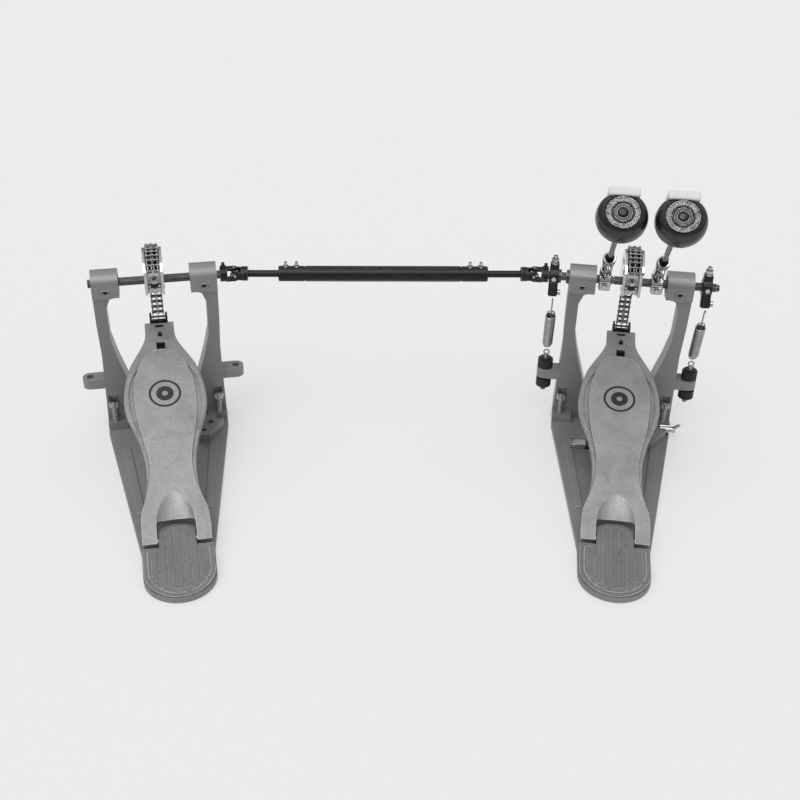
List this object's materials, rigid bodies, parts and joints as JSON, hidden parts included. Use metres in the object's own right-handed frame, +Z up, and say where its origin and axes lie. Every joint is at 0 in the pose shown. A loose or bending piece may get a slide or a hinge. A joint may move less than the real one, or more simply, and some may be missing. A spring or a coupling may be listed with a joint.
{
  "type": "bass drum pedal",
  "caption": "Double bass drum pedal: chain-driven primary pedal with beaters, a slave pedal and a telescopic drive shaft with universal joints.",
  "frame": {"origin": "on the floor under the middle of the primary pedal's axle", "axes": "+X along the drive shaft from the slave pedal to the primary pedal, +Y towards the drum, +Z up"},
  "size_m": [0.7145, 0.3666, 0.3549],
  "materials": {
    "cast_frame": "matte grey cast aluminium",
    "footboard": "sand-cast silver",
    "chain": "nickel plate",
    "black_steel": "black oxide",
    "felt": "pressed felt",
    "black_plastic": "satin black",
    "dark_axle": "dark plated steel",
    "chrome": "polished"
  },
  "bodies": {
    "primary_frame": {"primary_base_plate": "cast_frame", "primary_post_frame": "cast_frame", "primary_heel_plate": "cast_frame", "primary_hinge_pin": "chrome", "primary_bearings": "chrome", "primary_spurs": "chrome", "primary_screws": "black_steel", "hoop_clamp_pin": "chrome"},
    "primary_footboard": {"primary_footboard": "footboard", "primary_toe_clamp": "black_steel"},
    "right_axle": {"right_axle": "dark_axle", "primary_cam": "chrome", "primary_chain_wrap": "chain", "right_beater_holder": "chrome", "right_spring_arm": "black_steel"},
    "primary_chain_upper": {"primary_chain_upper": "chain"},
    "primary_chain_middle": {"primary_chain_middle": "chain"},
    "primary_chain_drop": {"primary_chain_drop": "chain"},
    "left_axle": {"left_axle": "dark_axle", "left_beater_holder": "chrome", "left_spring_arm": "black_steel", "axle_yoke_right": "black_steel", "cross_right": "chrome"},
    "left_memory_lock": {"left_memory_lock": "chrome"},
    "left_beater": {"left_beater_rod": "chrome", "left_beater_head": "black_plastic", "left_beater_felt": "felt"},
    "right_memory_lock": {"right_memory_lock": "chrome"},
    "right_beater": {"right_beater_rod": "chrome", "right_beater_head": "black_plastic", "right_beater_felt": "felt"},
    "left_spring_rod": {"left_spring_rod": "chrome"},
    "left_spring_knobs": {"left_spring_knobs": "black_plastic"},
    "left_spring": {"left_spring": "chrome"},
    "right_spring_rod": {"right_spring_rod": "chrome"},
    "right_spring_knobs": {"right_spring_knobs": "black_plastic"},
    "right_spring": {"right_spring": "chrome"},
    "hoop_clamp_lever": {"hoop_clamp_lever": "black_steel"},
    "hoop_clamp_wing_screw": {"hoop_clamp_wing_screw": "chrome"},
    "drive_tube": {"drive_tube": "black_steel", "drive_rod_right": "black_steel", "drive_key_screws": "chrome"},
    "slave_frame": {"slave_base_plate": "cast_frame", "slave_post_frame": "cast_frame", "slave_heel_plate": "cast_frame", "slave_hinge_pin": "chrome", "slave_bearings": "chrome", "slave_spurs": "chrome", "slave_screws": "black_steel"},
    "slave_footboard": {"slave_footboard": "footboard", "slave_toe_clamp": "black_steel"},
    "slave_axle": {"slave_axle": "dark_axle", "slave_cam": "chrome", "slave_chain_wrap": "chain", "axle_yoke_left": "black_steel", "cross_left": "chrome"},
    "slave_chain_upper": {"slave_chain_upper": "chain"},
    "slave_chain_middle": {"slave_chain_middle": "chain"},
    "slave_chain_drop": {"slave_chain_drop": "chain"},
    "drive_rod_left": {"drive_rod_left": "black_steel"}
  },
  "joints": [
    {"name": "right_beater_swing", "type": "hinge", "parent": "primary_frame", "child": "right_axle", "pos_m": [0, 0, 0.2], "axis": [-0.9863, 0.165, 0], "range_deg": [0, 50], "stiffness_Nm_per_rad": 0.6, "springref_deg": -34.38},
    {"name": "primary_footboard_hinge", "type": "hinge", "parent": "primary_frame", "child": "primary_footboard", "pos_m": [-0.03714, -0.22191, 0.015], "axis": [-0.9863, 0.165, 0], "range_deg": [-0.5, 8]},
    {"name": "primary_chain_upper_pin", "type": "hinge", "parent": "right_axle", "child": "primary_chain_upper", "pos_m": [0.00461, 0.02752, 0.22342], "axis": [-0.9863, 0.165, 0], "range_deg": [-27.4, 1]},
    {"name": "primary_chain_middle_pin", "type": "hinge", "parent": "primary_chain_upper", "child": "primary_chain_middle", "pos_m": [0.00565, 0.03376, 0.21246], "axis": [-0.9863, 0.165, 0], "range_deg": [-21, 1]},
    {"name": "primary_chain_drop_pin", "type": "hinge", "parent": "primary_chain_middle", "child": "primary_chain_drop", "pos_m": [0.00601, 0.03593, 0.2], "axis": [-0.9863, 0.165, 0], "range_deg": [-11, 1]},
    {"name": "left_beater_swing", "type": "hinge", "parent": "primary_frame", "child": "left_axle", "pos_m": [0, 0, 0.2], "axis": [-0.9863, 0.165, 0], "range_deg": [0, 50], "stiffness_Nm_per_rad": 0.6, "springref_deg": -34.38},
    {"name": "drive_tube_turn", "type": "hinge", "parent": "primary_frame", "child": "drive_tube", "pos_m": [-0.10524, 0.01761, 0.2], "axis": [-1, 0, 0], "range_deg": [-1, 51]},
    {"name": "slave_pedal_distance", "type": "slide", "parent": "primary_frame", "child": "slave_frame", "axis": [-1, 0, 0], "range_m": [-0.03, 0.05]},
    {"name": "slave_axle_turn", "type": "hinge", "parent": "slave_frame", "child": "slave_axle", "pos_m": [-0.52524, 0.00315, 0.2], "axis": [-0.9863, -0.165, 0], "range_deg": [-1, 51]},
    {"name": "drive_rod_left_turn", "type": "hinge", "parent": "slave_frame", "child": "drive_rod_left", "pos_m": [-0.43884, 0.01761, 0.2], "axis": [-1, 0, 0], "range_deg": [-1, 51]},
    {"name": "slave_footboard_hinge", "type": "hinge", "parent": "slave_frame", "child": "slave_footboard", "pos_m": [-0.4881, -0.21876, 0.015], "axis": [-0.9863, -0.165, 0], "range_deg": [-0.5, 8]},
    {"name": "slave_chain_upper_pin", "type": "hinge", "parent": "slave_axle", "child": "slave_chain_upper", "pos_m": [-0.52984, 0.03068, 0.22342], "axis": [-0.9863, -0.165, 0], "range_deg": [-25.9, 1]},
    {"name": "slave_chain_middle_pin", "type": "hinge", "parent": "slave_chain_upper", "child": "slave_chain_middle", "pos_m": [-0.53089, 0.03692, 0.21246], "axis": [-0.9863, -0.165, 0], "range_deg": [-21, 1]},
    {"name": "slave_chain_drop_pin", "type": "hinge", "parent": "slave_chain_middle", "child": "slave_chain_drop", "pos_m": [-0.53125, 0.03908, 0.2], "axis": [-0.9863, -0.165, 0], "range_deg": [-15.9, 1]},
    {"name": "left_beater_height", "type": "slide", "parent": "left_axle", "child": "left_memory_lock", "axis": [-0.1167, -0.6974, 0.7071], "range_m": [0, 0.03]},
    {"name": "left_beater_turn", "type": "hinge", "parent": "left_memory_lock", "child": "left_beater", "pos_m": [-0.04764, -0.1096, 0.32516], "axis": [-0.1167, -0.6974, 0.7071], "range_deg": [-20, 20]},
    {"name": "left_knob_turn", "type": "hinge", "parent": "primary_frame", "child": "left_spring_knobs", "pos_m": [-0.07958, 0.03157, 0.079], "axis": [0, 0, 1], "range_deg": [-720, 720]},
    {"name": "left_spring_tension", "type": "slide", "parent": "primary_frame", "child": "left_spring_rod", "axis": [0, 0, 1], "range_m": [-0.003, 0.003]},
    {"name": "left_spring_stretch", "type": "slide", "parent": "left_spring_rod", "child": "left_spring", "axis": [-0.0999, -0.5969, 0.7961], "range_m": [-0.001, 0.01915], "deforming": ["left_spring"]},
    {"name": "right_beater_height", "type": "slide", "parent": "right_axle", "child": "right_memory_lock", "axis": [-0.1167, -0.6974, 0.7071], "range_m": [0, 0.03]},
    {"name": "right_beater_turn", "type": "hinge", "parent": "right_memory_lock", "child": "right_beater", "pos_m": [0.00818, -0.11895, 0.32516], "axis": [-0.1167, -0.6974, 0.7071], "range_deg": [-20, 20]},
    {"name": "right_knob_turn", "type": "hinge", "parent": "primary_frame", "child": "right_spring_knobs", "pos_m": [0.08552, 0.00394, 0.079], "axis": [0, 0, 1], "range_deg": [-720, 720]},
    {"name": "right_spring_tension", "type": "slide", "parent": "primary_frame", "child": "right_spring_rod", "axis": [0, 0, 1], "range_m": [-0.003, 0.003]},
    {"name": "right_spring_stretch", "type": "slide", "parent": "right_spring_rod", "child": "right_spring", "axis": [-0.0999, -0.5969, 0.7961], "range_m": [-0.001, 0.01915], "deforming": ["right_spring"]},
    {"name": "clamp_screw_turn", "type": "hinge", "parent": "primary_frame", "child": "hoop_clamp_wing_screw", "pos_m": [-0.00066, -0.00394, 0.0125], "axis": [0.9863, -0.165, 0], "range_deg": [0, 720]},
    {"name": "hoop_clamp_hinge", "type": "hinge", "parent": "primary_frame", "child": "hoop_clamp_lever", "pos_m": [0.00396, 0.02367, 0.024], "axis": [-0.9863, 0.165, 0], "range_deg": [-0.5, 6]}
  ],
  "couplings": [
    {"joint": "primary_footboard_hinge", "follows": "right_beater_swing", "ratio": 0.1346},
    {"joint": "primary_chain_upper_pin", "follows": "right_beater_swing", "ratio": -0.528},
    {"joint": "primary_chain_middle_pin", "follows": "right_beater_swing", "ratio": -0.4},
    {"joint": "primary_chain_drop_pin", "follows": "right_beater_swing", "ratio": -0.2},
    {"joint": "drive_tube_turn", "follows": "left_beater_swing", "ratio": 1},
    {"joint": "slave_axle_turn", "follows": "left_beater_swing", "ratio": 1},
    {"joint": "drive_rod_left_turn", "follows": "left_beater_swing", "ratio": 1},
    {"joint": "slave_footboard_hinge", "follows": "left_beater_swing", "ratio": 0.1374},
    {"joint": "slave_chain_upper_pin", "follows": "left_beater_swing", "ratio": -0.498},
    {"joint": "slave_chain_middle_pin", "follows": "left_beater_swing", "ratio": -0.4},
    {"joint": "slave_chain_drop_pin", "follows": "left_beater_swing", "ratio": -0.298},
    {"joint": "left_spring_tension", "follows": "left_knob_turn", "m_per_rad": 0.00019894},
    {"joint": "left_spring_stretch", "follows": "left_beater_swing", "m_per_rad": 0.020796},
    {"joint": "right_spring_tension", "follows": "right_knob_turn", "m_per_rad": 0.00019894},
    {"joint": "right_spring_stretch", "follows": "right_beater_swing", "m_per_rad": 0.020796},
    {"joint": "hoop_clamp_hinge", "follows": "clamp_screw_turn", "ratio": 0.0076389}
  ]
}
